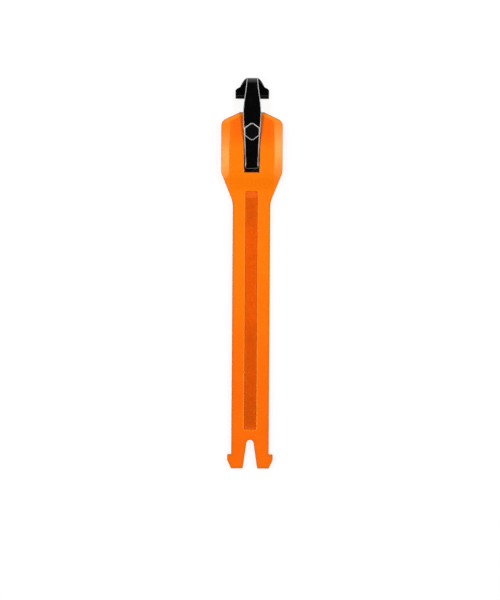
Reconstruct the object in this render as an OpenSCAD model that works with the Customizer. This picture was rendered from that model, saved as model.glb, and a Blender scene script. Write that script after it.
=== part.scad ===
// Ratchet strap for a boot, with a hinged hook arm.
// A moulded strap has a toothed, forked blade at one end and a thick paddle at the other.
// An arched arm turns on a cross pin in the paddle, and its winged hook catches the boot's receiver.
// The strap lies on its back face, at z = 0, and the hinge axis runs along X above the origin.

/* [Strap] */
// Width of the blade
blade_w = 24.6; // [23:0.1:28]
// Thickness of the blade
blade_t = 4.5; // [3.8:0.1:5]
// Distance from the hinge axis to the end of the tail
tail_reach = 199.1; // [150:0.1:260]

/* [Paddle] */
// Width of the paddle
paddle_w = 40.2; // [38:0.1:46]
// Distance from the hinge axis to the top edge of the paddle
paddle_reach = 33.9; // [33:0.1:37]
// Thickness of the paddle
paddle_t = 8; // [7.8:0.1:9]

/* [Rack] */
// Distance from one ratchet tooth to the next
tooth_pitch = 1.3; // [1:0.1:3]
// Height of a ratchet tooth
tooth_h = 0.45; // [0.2:0.05:0.6]

/* [Hook arm] */
// Distance from the hinge axis to the tip of the hook
hook_reach = 56.3; // [55:0.1:60]
// Height of the arm's crown above the back face
crown_z = 12.5; // [12:0.1:13.5]
// Thickness of the arm
arm_t = 3; // [2.6:0.1:3.2]
// Width over the hook's wings
wing_w = 22; // [19:0.5:26]
// Radius of the hinge pin
pin_r = 1.25; // [1:0.05:1.4]

/* [Hidden] */
$fn = 48;

// Gap between parts that move past each other
gap = 0.3;
// Room that a cutter takes beyond the face that it cuts
over = 1;
// Thickness of the slices that a hull joins
sliver = 0.01;

// Paddle: the flat at its peak, its shoulders, and its bevelled flanks and top edges
peak_w = 15.8;
shoulder_y = paddle_reach - 5.84;
shoulder_r = 5;
flank_w = 5.4;
flank_drop = 1.48;
brow_w = 2.4;
brow_drop = 1.5;
corner_r = 0.6;

// Neck, where the paddle tapers to the blade and thins down to it
neck_top = -5.45;
neck_bottom = -24.9;
neck_top_r = 6;
neck_bottom_r = 16;
ramp_top = -5.5;
ramp_bottom = -19;

// Forked tail with a barb on each leg
barb_y = 9.3 - tail_reach;
barb_w = blade_w + 5.2;
barb_len = 3.8;
barb_r = 1.2;
foot_w = blade_w;
fork_y = 18.7 - tail_reach;
fork_root_w = 4;
fork_mouth_w = 9.4;
fork_r = 2.3;

// Channel in the blade's face, with a bevelled rim and the rack on its floor
channel_top = -18;
channel_bottom = 25.5 - tail_reach;
channel_w = 7.6;
channel_depth = 1.4;
channel_floor = blade_t - channel_depth;
channel_draft = 0.25;
channel_corner = 1.1;
channel_rim = 0.5;
channel_rim_drop = 0.14;
rack_base = 0.35;
rack_gap = 0.1;
rack_lead = 4;

// Hinge: height of its axis, the arm's knuckle, and the sheet-metal cradle in the paddle's pocket
pin_z = 4.6;
knuckle_r = 3.1;
knuckle_w = 8.9;
knuckle_edge = 0.7;
web_y = 5;
eye_play = 0.05;
sheet_t = 0.4;
pocket_w = 11.1;
pocket_end_w = 9.9;
pocket_floor = 0.7;
pocket_end = -5.6;
pocket_lead = 0.2;
taper_y = 16;
pocket_taper = (pocket_w - pocket_end_w) / 2 / (taper_y - pocket_end);
cradle_top = 10;
ear_y = 3.5;
ear_z = 7.3;
ear_r = 3;
ear_tip_z = 4.4;
ear_tip_r = 1.2;
ear_heel_z = 6.8;

// Arm: an arch from the hinge to the crown, a half-turn hook and the winged tail under it
hook_lift = 0.5;
hook_r = (crown_z - hook_lift - arm_t) / 2;
hook_y = hook_reach - hook_r - arm_t / 2;
crown_mid = crown_z - arm_t / 2;
hook_z = crown_mid - hook_r;
tail_mid = hook_z - hook_r;
arch_rise = crown_mid - pin_z;
arch_r = (hook_y * hook_y + arch_rise * arch_rise) / (2 * arch_rise);
arch_angle = asin(hook_y / arch_r);
arm_edge = 0.5;
arch_steps = 16;
bend_step = 9;
flare_steps = 6;
corner_steps = 4;

// Half widths of the arm along its length
arm_heel = 4.5;
arm_root = 4.85;
root_y = 8;
arm_belly = 5.9;
belly_y = 33.5;
arm_tip = 3.7;
fin_root = 8.2;
fin_flare = 2.4;
wing_corner = 0.8;

// Rolled lip on the free edge of the wings
lip_r = 1.25;
lip_y = 42.65 + lip_r;
lip_z = tail_mid + 0.8;
lip_edge = 0.5;

// Grip pad: a long hexagon let into the arm's face
pad_y = 21.3;
pad_w = 10.2;
pad_len = 11.2;
pad_side = 5;
pad_tip_w = 1.8;
pad_corner = 0.4;
pad_t = 1.4;
pad_seat = 0.5;
pad_bevel = 0.6;
groove_w = 0.7;
groove_depth = 0.35;
groove_pitch = 1.9;

// Points of the arc that rounds corner b, between neighbours a and c, to radius r
function corner(a, b, c, r, steps = 6) =
    r == 0 ? [b] :
    let (
        u = (a - b) / norm(a - b),
        v = (c - b) / norm(c - b),
        half = acos(u * v) / 2,
        centre = b + (u + v) / norm(u + v) * r / sin(half),
        from = b + u * r / tan(half) - centre,
        to = b + v * r / tan(half) - centre,
        start = atan2(from.y, from.x),
        sweep = (atan2(to.y, to.x) - start + 540) % 360 - 180
    )
    [for (i = [0:steps]) let (a = start + sweep * i / steps) centre + r * [cos(a), sin(a)]];

// Closed outline from corners given as [x, y, radius]
function rounded(corners) =
    let (n = len(corners), at = [for (c = corners) [c.x, c.y]])
    [for (i = [0:n - 1]) each corner(at[(i + n - 1) % n], at[i], at[(i + 1) % n], corners[i].z)];

// The corners of one side, then those of the other side as its mirror image
function both_sides(corners) =
    concat(corners, [for (i = [len(corners) - 1:-1:0]) [-corners[i].x, corners[i].y, corners[i].z]]);

// Eases from a to b as t goes from 0 to 1
function ease(a, b, t) = let (s = min(1, max(0, t))) a + (b - a) * s * s * (3 - 2 * s);

// Extrudes an outline of Y and Z across the strap, centred on X
module across(width) {
    rotate([90, 0, 90]) linear_extrude(width, center = true) children();
}

// Extrudes an outline of X and Z along the strap, between two places on Y
module along(from, to) {
    translate([0, to, 0]) rotate([90, 0, 0]) linear_extrude(to - from) children();
}

// Round bar on the hinge axis
module hinge_bar(r, width) {
    translate([0, 0, pin_z]) rotate([0, 90, 0]) cylinder(r = r, h = width, center = true);
}

// Outline of the strap, down one side from the peak of the paddle to the root of the fork
strap_outline = rounded(both_sides([
    [peak_w / 2, paddle_reach, corner_r],
    [paddle_w / 2, shoulder_y, shoulder_r],
    [paddle_w / 2, neck_top, neck_top_r],
    [blade_w / 2, neck_bottom, neck_bottom_r],
    [blade_w / 2, barb_y, corner_r],
    [barb_w / 2, barb_y, barb_r],
    [barb_w / 2, barb_y - barb_len, barb_r],
    [foot_w / 2, -tail_reach, corner_r],
    [fork_mouth_w / 2, -tail_reach, corner_r],
    [fork_root_w / 2, fork_y, fork_r]
]));

// Side view of the strap: the blade's thickness rises in an eased ramp to the paddle's
thickness_outline = concat(
    [[-tail_reach - over, -over], [paddle_reach + over, -over], [paddle_reach + over, paddle_t]],
    [for (i = [0:12]) let (t = i / 12) [ramp_top + (ramp_bottom - ramp_top) * t, ease(paddle_t, blade_t, t)]],
    [[-tail_reach - over, blade_t]]
);

// End view of the strap: two planes that slope down to the paddle's sides
module flank_planes() {
    slope = flank_drop / flank_w;
    low = [paddle_w / 2 + over, paddle_t - flank_drop - over * slope];
    high = [paddle_w / 2 - 2 * flank_w, paddle_t + flank_drop];
    along(-tail_reach - over, paddle_reach + over)
        polygon([[low.x, -over], low, high, [-high.x, high.y], [-low.x, low.y], [-low.x, -over]]);
}

// Cutter that bevels the top edge between two points of the paddle's outline
module brow_cutter(from, to) {
    run = to - from;
    reach = 2 * shoulder_r;
    translate([from.x, from.y, paddle_t - brow_drop])
        rotate([0, 0, atan2(run.y, run.x)])
            rotate([-atan(brow_drop / brow_w), 0, 0])
                translate([-reach, -reach, 0])
                    cube([norm(run) + 2 * reach, 2 * reach, paddle_t]);
}

module brow_cutters() {
    peak = [peak_w / 2, paddle_reach];
    shoulder = [paddle_w / 2, shoulder_y];
    brow_cutter([-peak.x, peak.y], peak);
    brow_cutter(peak, shoulder);
    brow_cutter([-shoulder.x, shoulder.y], [-peak.x, peak.y]);
}

// Outline of the channel's floor, grown by a margin
module channel_outline(margin) {
    half = channel_w / 2 + margin;
    end_r = channel_corner + margin;
    polygon(rounded(both_sides([
        [half, channel_top + margin, end_r],
        [half, channel_bottom - margin, end_r]
    ])));
}

// Cutter that widens from one height to another, then goes straight up
module widening_cutter(from_z, from_margin, to_z, to_margin) {
    hull() {
        translate([0, 0, from_z]) linear_extrude(sliver) channel_outline(from_margin);
        translate([0, 0, to_z]) linear_extrude(over) channel_outline(to_margin);
    }
}

// The channel's steep walls, then the flat bevel of its rim
module channel_cutter() {
    rim_z = blade_t - channel_rim_drop;
    widening_cutter(channel_floor, 0, rim_z, channel_draft);
    widening_cutter(rim_z, channel_draft, blade_t, channel_draft + channel_rim);
}

// Height of the arch's middle line at a distance y from the hinge
function arch_z(y) = crown_mid - arch_r + sqrt(arch_r * arch_r - (hook_y - y) * (hook_y - y));

// Outline of the pocket from the front, narrower towards its lower end and drawn in by a margin
module pocket_plan(margin) {
    low_y = pocket_end - 2 * over;
    half = pocket_w / 2 - margin;
    low_half = half - (taper_y - low_y) * pocket_taper;
    polygon(rounded(both_sides([[half, hook_y, 0], [half, taper_y, 0], [low_half, low_y, 0]])));
}

// Pocket for the cradle, then a seat that follows the closed arm's underside out to the paddle's face
module pocket_cutter() {
    rim_z = paddle_t + over;
    steps = [for (i = [0:10]) cradle_top + (hook_y - cradle_top) * i / 10];
    seat = [for (y = steps) [y, arch_z(y) - arm_t / 2 - gap]];
    intersection() {
        across(paddle_w)
            polygon(concat(
                [[pocket_end, pocket_floor], [cradle_top, pocket_floor]],
                [for (p = seat) if (p.y < rim_z) p],
                [[hook_y, rim_z], [pocket_end - pocket_lead - over, rim_z], [pocket_end, paddle_t - pocket_lead]]
            ));
        linear_extrude(rim_z + over) pocket_plan(0);
    }
}

module strap_body() {
    color("darkorange")
        difference() {
            intersection() {
                linear_extrude(paddle_t + over) polygon(strap_outline);
                across(paddle_w + 2 * over) polygon(thickness_outline);
                flank_planes();
            }
            brow_cutters();
            channel_cutter();
            pocket_cutter();
            hinge_bar(pin_r, paddle_w + 2 * over);
        }
}

// Saw teeth on a thin base, with a plain lead at the top and their steep sides towards the paddle
module ratchet_rack() {
    root_z = channel_floor + rack_base;
    lead = channel_top - rack_lead;
    teeth = floor((lead - channel_bottom - channel_corner) / tooth_pitch);
    bottom = lead - teeth * tooth_pitch;
    low_y = channel_bottom - over;
    high_y = channel_top + over;
    color("orangered")
        intersection() {
            across(channel_w)
                polygon(concat(
                    [[bottom, root_z], [low_y, root_z], [low_y, channel_floor]],
                    [[high_y, channel_floor], [high_y, root_z]],
                    [for (i = [0:teeth - 1], z = [root_z, root_z + tooth_h]) [lead - i * tooth_pitch, z]]
                ));
            linear_extrude(blade_t) channel_outline(-rack_gap);
        }
}

// Folded channel that lines the pocket, with an ear on each side for the pin
module hinge_cradle() {
    ears = rounded([
        [pocket_end, pocket_floor, 0],
        [cradle_top, pocket_floor, 0],
        [cradle_top, ear_tip_z, ear_tip_r],
        [ear_y, ear_z, ear_r],
        [pocket_end, ear_heel_z, 0]
    ]);
    color("dimgray")
        difference() {
            intersection() {
                across(paddle_w) polygon(ears);
                linear_extrude(paddle_t + over) pocket_plan(0);
            }
            intersection() {
                translate([-paddle_w / 2, pocket_end + sheet_t, pocket_floor + sheet_t])
                    cube([paddle_w, cradle_top - pocket_end, paddle_t]);
                linear_extrude(2 * paddle_t) pocket_plan(sheet_t);
            }
            hinge_bar(pin_r, pocket_w + 2 * over);
        }
}

module hinge_pin() {
    color("silver") hinge_bar(pin_r, paddle_w);
}

// Half width of the arm at a distance y from the hinge, up to the tip of the hook
function arm_half(y) =
    y < root_y ? arm_heel + (arm_root - arm_heel) * y / root_y :
    y < belly_y ? ease(arm_root, arm_belly, (y - root_y) / (belly_y - root_y)) :
    ease(arm_belly, arm_tip, (y - belly_y) / (hook_reach - belly_y));

// Half width of the hook's lower half, which widens from the tip towards the wings
function fin_half(a) = arm_tip + (fin_root - arm_tip) * a / -90;

// Half width of the wings, which flare from the end of the bend and turn in at their lower corners
function wing_half(y) =
    let (
        flare = 1 - min(1, (hook_y - y) / fin_flare),
        turn = max(0, wing_corner - (y - lip_y)) / wing_corner
    )
    wing_w / 2 - (wing_w / 2 - fin_root) * flare * flare - wing_corner * (1 - sqrt(1 - turn * turn));

// Places along the middle line of the arm, each as [y, z, direction, half width]
arch_path = [for (i = [0:arch_steps])
    let (a = arch_angle * (1 - i / arch_steps), y = hook_y - arch_r * sin(a))
    [y, crown_mid - arch_r * (1 - cos(a)), a, arm_half(y)]];
bend_path = [for (a = [90 - bend_step:-bend_step:-90])
    let (y = hook_y + hook_r * cos(a), tip_y = y + arm_t / 2 * cos(a))
    [y, hook_z + hook_r * sin(a), a - 90, a < 0 ? fin_half(a) : arm_half(tip_y)]];
flare_path = [for (i = [1:flare_steps])
    let (y = hook_y - fin_flare * i / flare_steps)
    [y, tail_mid, -180, wing_half(y)]];
corner_path = [for (i = [corner_steps:-1:1])
    let (y = lip_y + wing_corner * (1 - cos(90 * i / corner_steps)))
    [y, tail_mid, -180, wing_half(y)]];
arm_path = concat(arch_path, bend_path, flare_path, corner_path);

// Corners of the arm's bevelled section, as [sideways, outwards], for a half width
function strip_section(half) =
    let (
        h = arm_t / 2,
        e = arm_edge,
        side = [[half - e, h], [half, h - e], [half, e - h], [half - e, -h]]
    )
    concat(side, [for (i = [3:-1:0]) [-side[i].x, side[i].y]]);

// Strip of constant thickness that follows a path
module swept_strip(path) {
    sides = len(strip_section(1));
    last = len(path) - 1;
    points = [for (s = path, p = strip_section(s[3])) [p.x, s.x - p.y * sin(s.z), s.y + p.y * cos(s.z)]];
    skin = [for (i = [0:last - 1], j = [0:sides - 1])
        let (k = (j + 1) % sides)
        [i * sides + j, (i + 1) * sides + j, (i + 1) * sides + k, i * sides + k]];
    ends = [[for (j = [0:sides - 1]) j], [for (j = [sides - 1:-1:0]) last * sides + j]];
    polyhedron(points, concat(skin, ends));
}

// Bar along X at a height, with an edge taken off both ends
module turned_bar(y, z, r, width, edge) {
    half = width / 2;
    side = [[r - edge, half], [r, half - edge]];
    translate([0, y, z])
        rotate([0, 90, 0])
            rotate_extrude()
                polygon(concat([[0, half]], side, [[r, edge - half], [r - edge, -half], [0, -half]]));
}

// Places the pad's own frame on the arm's face, with z = 0 on the floor of its seat
module on_pad_seat() {
    translate([0, pad_y, arch_z(pad_y)])
        rotate([asin((hook_y - pad_y) / arch_r), 0, 0])
            translate([0, 0, arm_t / 2 - pad_seat])
                children();
}

// Outline of the pad, drawn in by a margin
module pad_outline(margin) {
    half = pad_w / 2 - margin;
    polygon(rounded(both_sides([
        [pad_tip_w / 2, pad_len / 2 - margin, pad_corner],
        [half, pad_side / 2 - margin / 2, pad_corner],
        [half, margin / 2 - pad_side / 2, pad_corner],
        [pad_tip_w / 2, margin - pad_len / 2, pad_corner]
    ])));
}

// Side view of the web, with its top edge lowered by a margin
module web_side(margin) {
    slope = asin((hook_y - web_y) / arch_r);
    foot = [web_y, arch_z(web_y)];
    face = foot + (arm_t / 2 - margin) * [-sin(slope), cos(slope)];
    polygon([[0, pin_z], foot, face, [0, pin_z + knuckle_r - margin]]);
}

// Bevelled web that carries the top of the knuckle over into the arm's face
module knuckle_web() {
    hull() {
        across(knuckle_w - 2 * knuckle_edge) web_side(0);
        across(knuckle_w) web_side(knuckle_edge);
    }
}

module hook_arm() {
    color([0.09, 0.09, 0.1])
        difference() {
            union() {
                swept_strip(arm_path);
                turned_bar(0, pin_z, knuckle_r, knuckle_w, knuckle_edge);
                knuckle_web();
                turned_bar(lip_y, lip_z, lip_r, wing_w, lip_edge);
            }
            hinge_bar(pin_r + eye_play, knuckle_w + 2 * over);
            on_pad_seat() linear_extrude(arm_t) pad_outline(0);
        }
}

// Hexagonal pad with a bevelled rim and cross grooves for the thumb
module grip_pad() {
    rim_z = pad_t - pad_bevel;
    color([0.16, 0.16, 0.17])
        on_pad_seat()
            difference() {
                hull() {
                    linear_extrude(rim_z) pad_outline(0);
                    translate([0, 0, pad_t - sliver]) linear_extrude(sliver) pad_outline(pad_bevel);
                }
                for (i = [-1:1])
                    translate([-pad_w / 2, i * groove_pitch - groove_w / 2, pad_t - groove_depth])
                        cube([pad_w, groove_w, pad_t]);
            }
}

strap_body();
ratchet_rack();
hinge_cradle();
hinge_pin();
hook_arm();
grip_pad();
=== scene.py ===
import math
from contextlib import contextmanager
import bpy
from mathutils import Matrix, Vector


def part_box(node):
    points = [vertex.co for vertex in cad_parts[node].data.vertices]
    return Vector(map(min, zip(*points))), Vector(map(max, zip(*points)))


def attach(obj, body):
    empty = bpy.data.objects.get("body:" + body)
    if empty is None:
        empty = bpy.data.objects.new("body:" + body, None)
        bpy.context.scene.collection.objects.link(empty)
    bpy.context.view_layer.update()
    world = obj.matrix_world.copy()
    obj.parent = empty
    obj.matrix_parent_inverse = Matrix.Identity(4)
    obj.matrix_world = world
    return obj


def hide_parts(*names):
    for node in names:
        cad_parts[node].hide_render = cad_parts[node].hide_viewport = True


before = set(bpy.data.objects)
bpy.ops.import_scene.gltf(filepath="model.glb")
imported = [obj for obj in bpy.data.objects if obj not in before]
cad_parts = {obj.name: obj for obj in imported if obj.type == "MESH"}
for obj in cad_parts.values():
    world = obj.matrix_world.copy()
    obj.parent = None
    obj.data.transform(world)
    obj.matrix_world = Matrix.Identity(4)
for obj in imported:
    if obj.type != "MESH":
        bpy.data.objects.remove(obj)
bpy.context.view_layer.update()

from types import SimpleNamespace

import bmesh
import bpy
import numpy as np
from bpy.props import FloatProperty, FloatVectorProperty, PointerProperty
from bpy.types import Operator, Panel, PropertyGroup
from mathutils import Matrix, Vector
from mathutils.geometry import delaunay_2d_cdt
from mathutils.kdtree import KDTree

bl_info = {
    "name": "Boot buckle strap",
    "version": (1, 0, 0),
    "blender": (4, 5, 0),
    "location": "3D View > Sidebar > Boot strap",
    "description": "Builds a moulded boot strap with a hinged hook arm around its solid model",
    "category": "Object",
}

STRAP_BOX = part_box("strap_body")
ARM_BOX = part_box("hook_arm")
PIN_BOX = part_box("hinge_pin")

# Lengths in the code below are millimetres. A mesh is scaled to metres as it is made.
MM = 0.001
NEAR = 1e-6  # lengths that differ by less are taken as equal
WELD = 2e-6  # metres between points that are welded

# Paddle: the flat at its peak, its shoulders, and its bevelled flanks and top edges
PEAK_W = 15.8
SHOULDER_DROP = 5.84
SHOULDER_R = 5.0
FLANK_W = 5.4
FLANK_DROP = 1.48
BROW_W = 2.4
BROW_DROP = 1.5
CORNER_R = 0.6
CREASE, FLANK_CREASE = 0.5, 0.15

# Neck, where the paddle tapers and thins down to the blade
NECK_TOP, NECK_TOP_R = -5.45, 6.0
NECK_BOTTOM, NECK_BOTTOM_R = -24.9, 16.0
RAMP_TOP, RAMP_BOTTOM = -5.5, -19.0

# Forked tail with a barb on each leg, measured from the end of the tail
BARB_RISE, BARB_OUT, BARB_LEN, BARB_TOP_R, BARB_R = 9.3, 2.6, 3.8, 0.6, 1.2
FORK_RISE, FORK_R = 18.7, 2.3
FORK_ROOT_W, FORK_MOUTH_W = 4.0, 9.4

# Channel in the blade with its bevelled rim, and the rack on its floor
CHANNEL_TOP, CHANNEL_RISE = -18.0, 25.5
CHANNEL_W, CHANNEL_DEPTH, CHANNEL_DRAFT, CHANNEL_R = 7.6, 1.4, 0.25, 1.1
CHANNEL_RIM, CHANNEL_RIM_DROP, RIM_STEP = 0.5, 0.1, 4.0
RIM_CREASE, WALL_CREASE = 0.03, 0.12
RACK_BASE, RACK_GAP, RACK_LEAD = 0.35, 0.03, 4.0

# Pocket in the paddle, narrower towards its lower end, and the pin's bore in its sides
POCKET_W, POCKET_FLOOR, POCKET_END, POCKET_LEAD = 11.1, 0.7, -5.6, 0.2
POCKET_END_W, TAPER_Y = 9.9, 16.0
POCKET_REACH, POCKET_R, POCKET_RIM, POCKET_WALL = 30.0, 0.35, 0.25, 0.06
POCKET_LEAST = 0.5
CRADLE_TOP, CRADLE_EDGE, PIN_EDGE = 10.0, 0.14, 0.35
SEAT_GAP = 0.3
WINDOW_Y = 3.0
BORE_EDGE, BORE_DEPTH = 0.15, 1.5

# Mesh of the strap: margins of the lines of points along its forms, steps along them, and the grids between
CHANNEL_LINES = (-0.2, 0.0, 0.08, 0.16, 0.22, 0.25, 0.28, 0.36, 0.5, 0.64, 0.72, 0.78, 0.86, 1.1)
POCKET_LINES = (0.45, 0.25, 0.17, 0.1, 0.05, 0.02, 0.0, -POCKET_WALL, -0.2)
CREASE_LINES = (-0.8, -0.55, -0.3, 0.0, 0.3, 0.55, 0.8)
EDGE_STEP, CHANNEL_STEP, POCKET_STEP, STEP_POINTS = 1.5, 2.0, 0.7, 15
FINE_END, FINE_GRID = -22.0, (0.5, 0.5)
COARSE_END, COARSE_GRID = -22.5, (1.4, 2.2)

# Bands where the strap's finish paints light, a highlight on the channel's rim and light on its wall, as
# distances out from the top of the channel's wall
RIM_HIGHLIGHT_BAND = (-0.1, CHANNEL_RIM + 0.15)
WALL_BAND = (-0.4, -0.01)

# Arm: an arch from the hinge to the crown, a half-turn hook and the winged tail under it
PIN_Z = (PIN_BOX[0].z + PIN_BOX[1].z) / 2 / MM
HOOK_LIFT = 0.5
ROOT_EDGE, BELLY_EDGE, ARM_EDGE, ARM_EDGE_R = 0.75, 0.35, 0.45, 0.12
ARM_HEEL, ARM_ROOT, ROOT_Y = 4.5, 4.85, 8.0
ARM_BELLY, BELLY_Y = 5.9, 33.5
ARM_TIP = 3.7
FIN_ROOT, FIN_FLARE, WING_CORNER, WING_EDGE = 8.2, 2.4, 0.8, 0.36
EDGE_BLEND, EDGE_TURN, EDGE_BRACE = 12, 11.25, 0.08
KNUCKLE_R, KNUCKLE_W, KNUCKLE_EDGE = 3.1, 8.9, 0.7
WEB_Y, WEB_STEP, EYE_PLAY = 5.0, 0.01, 0.05
LIP_R, LIP_Y, LIP_RISE, LIP_EDGE = 1.25, 43.9, 0.8, 0.5
COATED, BARE, RUBBED = 0, 1, 2  # places in the arm's list of finishes

# Grip pad let into the arm's face
PAD_Y, PAD_W, PAD_LEN, PAD_SIDE, PAD_TIP_W = 21.3, 10.2, 11.2, 5.0, 1.8
PAD_CORNER, PAD_T, PAD_SEAT, PAD_BEVEL = 0.4, 1.4, 0.5, 0.6
GROOVE_W, GROOVE_DEPTH, GROOVE_PITCH, GROOVE_SLOPE = 0.7, 0.35, 1.9, 0.16
GROOVE_LINES = (-0.43, -0.38, -0.32, -0.27, 0.27, 0.32, 0.38, 0.43)
PAD_CREASE, PAD_EDGE, PAD_FOOT, PAD_GLINT_INSET = 0.12, 0.12, 0.05, 0.06
PAD_STEP, PAD_GRID, PAD_MARGIN, PAD_POINTS, PAD_TURN = 0.4, (0.2, 0.2), 0.3, 30, 15.0

# Stage, in metres
SOFTBOX_SIZE, SOFTBOX_PLACE, SOFTBOX_AIM = (1.0, 0.3), (0.62, 0.06, 0.98), (0.0, -0.06, 0.0)
FLOOR_REACH, FLOOR_Z, FLOOR_TINT, FLOOR_WHITE = 4.0, -0.0001, 0.8, 1.02
SENSOR_W = 36.0  # millimetres
WHITE = (1.0, 1.0, 1.0, 1.0)


def length(name, description, default):
    """A length that a user may change, in metres."""
    return FloatProperty(name=name, description=description, default=default, min=0.0,
                         precision=4, subtype="DISTANCE", unit="LENGTH")


def tint(name, description, default):
    """A colour that a user may change, in linear light."""
    return FloatVectorProperty(name=name, description=description, default=default,
                               size=3, min=0.0, max=1.0, subtype="COLOR")


class StrapSizes(PropertyGroup):
    """Sizes of the moulded strap."""
    blade_width: length("Blade width", "Width of the blade", 24.6 * MM)
    blade_thickness: length("Blade thickness", "Thickness of the blade", 4.5 * MM)
    tail_reach: length("Tail reach", "Hinge axis to the end of the tail", -STRAP_BOX[0].y)
    paddle_width: length("Paddle width", "Width of the paddle", STRAP_BOX[1].x - STRAP_BOX[0].x)
    paddle_reach: length("Paddle reach", "Hinge axis to the paddle's top edge", STRAP_BOX[1].y)
    paddle_thickness: length("Paddle thickness", "Thickness of the paddle", STRAP_BOX[1].z)
    edge_radius: length("Edge radius", "Rounding of the front edges", 0.28 * MM)
    foot_radius: length("Back edge radius", "Rounding of the back edges", 0.3 * MM)


class RackSizes(PropertyGroup):
    """Sizes of the ratchet rack."""
    pitch: length("Tooth pitch", "Distance from one tooth to the next", 1.3 * MM)
    height: length("Tooth height", "Height of a tooth", 0.45 * MM)
    crest: length("Crest", "Edge taken off the crest of a tooth", 0.1 * MM)


class ArmSizes(PropertyGroup):
    """Sizes of the hook arm and its hinge."""
    reach: length("Hook reach", "Hinge axis to the tip of the hook", ARM_BOX[1].y)
    crown: length("Crown height", "Height of the arm's crown", ARM_BOX[1].z)
    thickness: length("Arm thickness", "Thickness of the arm", 3 * MM)
    wing_width: length("Wing width", "Width over the hook's wings", ARM_BOX[1].x - ARM_BOX[0].x)
    pin_radius: length("Pin radius", "Radius of the hinge pin", (PIN_BOX[1].z - PIN_BOX[0].z) / 2)
    pin_inset: length("Pin inset", "Depth of the pin's ends below the paddle's sides", 0.3 * MM)


class Finishes(PropertyGroup):
    """Colours of the pieces."""
    strap: tint("Strap", "Moulded plastic of the strap", (1.0, 0.20, 0.0))
    # The redder shade gives the strap's drift of tone and its painted shade and shadow, and the rack's
    # painted light; the lighter shade is painted light, and the edge shade is painted shade
    strap_warm: tint("Strap, warm", "Redder shade of the strap's plastic", (1.0, 0.14, 0.0))
    strap_painted_light: tint("Strap, light", "Lighter shade of the brow and the channel's wall", (1.0, 0.29, 0.02))
    strap_edge_shade: tint("Strap edge", "Shade along the strap's outer edges", (0.45, 0.15, 0.01))
    rack: tint("Rack", "Plastic of the rack", (0.86, 0.112, 0.0))
    # The rack's darker shade is painted shade
    rack_painted_shade: tint("Rack, dark", "Darker shade of the rack's plastic", (0.68, 0.088, 0.0))
    sheen: tint("Sheen", "Tint of the plastic's gloss", (1.0, 0.95, 0.42))
    arm: tint("Arm", "Black coat of the arm", (0.001, 0.001, 0.0011))
    arm_edge: tint("Arm edge", "Bare metal of the arm's bevelled edges", (0.72, 0.72, 0.73))
    cradle: tint("Cradle", "Black coat of the cradle", (0.005, 0.005, 0.0055))
    pin: tint("Pin", "Steel of the hinge pin", (0.56, 0.56, 0.57))
    pad: tint("Pad", "Black coat of the grip pad", (0.0012, 0.0012, 0.0013))


class StageSettings(PropertyGroup):
    """Camera, light and floor."""
    camera_distance: length("Camera distance", "Camera to the strap's face", 2.7215)
    camera_x: FloatProperty(name="Camera X", description="Sideways place of the camera",
                            default=-0.0006, precision=4, subtype="DISTANCE", unit="LENGTH")
    camera_y: FloatProperty(name="Camera Y", description="Lengthwise place of the camera",
                            default=-0.0889, precision=4, subtype="DISTANCE", unit="LENGTH")
    camera_roll: FloatProperty(name="Camera roll", description="Turn of the camera about its view",
                               default=math.radians(0.38), subtype="ANGLE", unit="ROTATION")
    focal_length: FloatProperty(name="Focal length", description="Lens, in millimetres",
                                default=250.0, min=20.0, max=400.0)
    softbox_power: FloatProperty(name="Softbox power", description="Power of each side light",
                                 default=7.6, min=0.0, subtype="POWER", unit="POWER")
    floor_glow: FloatProperty(name="Floor glow", description="Share of the floor's white that is its own",
                              default=0.84, min=0.0, max=1.0, subtype="FACTOR")
    fill: FloatProperty(name="Fill", description="Strength of the even light from all round",
                        default=0.2, min=0.0, max=2.0)


class BootStrapSettings(PropertyGroup):
    """Everything that a user of the strap would change."""
    strap: PointerProperty(type=StrapSizes)
    rack: PointerProperty(type=RackSizes)
    arm: PointerProperty(type=ArmSizes)
    finishes: PointerProperty(type=Finishes)
    stage: PointerProperty(type=StageSettings)


def millimetres(group):
    """A group's lengths as plain numbers of millimetres."""
    return SimpleNamespace(**{name: getattr(group, name) / MM for name in type(group).__annotations__})


def rounded(corners, turn=8.0):
    """Closed outline from corners (x, y, radius). A corner becomes an arc with a point every turn degrees."""
    points = []
    for i, (x, y, r) in enumerate(corners):
        b = np.array((x, y), float)
        if r == 0:
            points.append(b)
            continue
        u = np.array(corners[i - 1][:2], float) - b
        v = np.array(corners[(i + 1) % len(corners)][:2], float) - b
        u /= np.linalg.norm(u)
        v /= np.linalg.norm(v)
        half = math.acos(np.clip(u @ v, -1, 1)) / 2
        centre = b + (u + v) / np.linalg.norm(u + v) * r / math.sin(half)
        first = b + u * r / math.tan(half) - centre
        last = b + v * r / math.tan(half) - centre
        start = math.atan2(first[1], first[0])
        sweep = (math.atan2(last[1], last[0]) - start + 3 * math.pi) % (2 * math.pi) - math.pi
        steps = max(1, round(abs(math.degrees(sweep)) / turn))
        for k in range(steps + 1):
            a = start + sweep * k / steps
            points.append(centre + r * np.array((math.cos(a), math.sin(a))))
    return np.array(points)


def both_sides(corners):
    """The corners of one side, then those of the other side as its mirror image."""
    return corners + [(-x, y, r) for x, y, r in reversed(corners)]


def divided(outline, step):
    """A closed outline with no side longer than step."""
    points = []
    for a, b in zip(outline, np.roll(outline, -1, axis=0)):
        parts = max(1, math.ceil(np.linalg.norm(b - a) / step - 1e-6))
        points += [a + (b - a) * k / parts for k in range(parts)]
    return np.array(points)


def braced(outline, margin):
    """A closed outline with a point near both ends of each side, so that smooth shading keeps it flat."""
    points = []
    for a, b in zip(outline, np.roll(outline, -1, axis=0)):
        points.append(a)
        reach = np.linalg.norm(b - a)
        if reach > 3 * margin:
            points += [a + (b - a) * margin / reach, b + (a - b) * margin / reach]
    return np.array(points)


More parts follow.
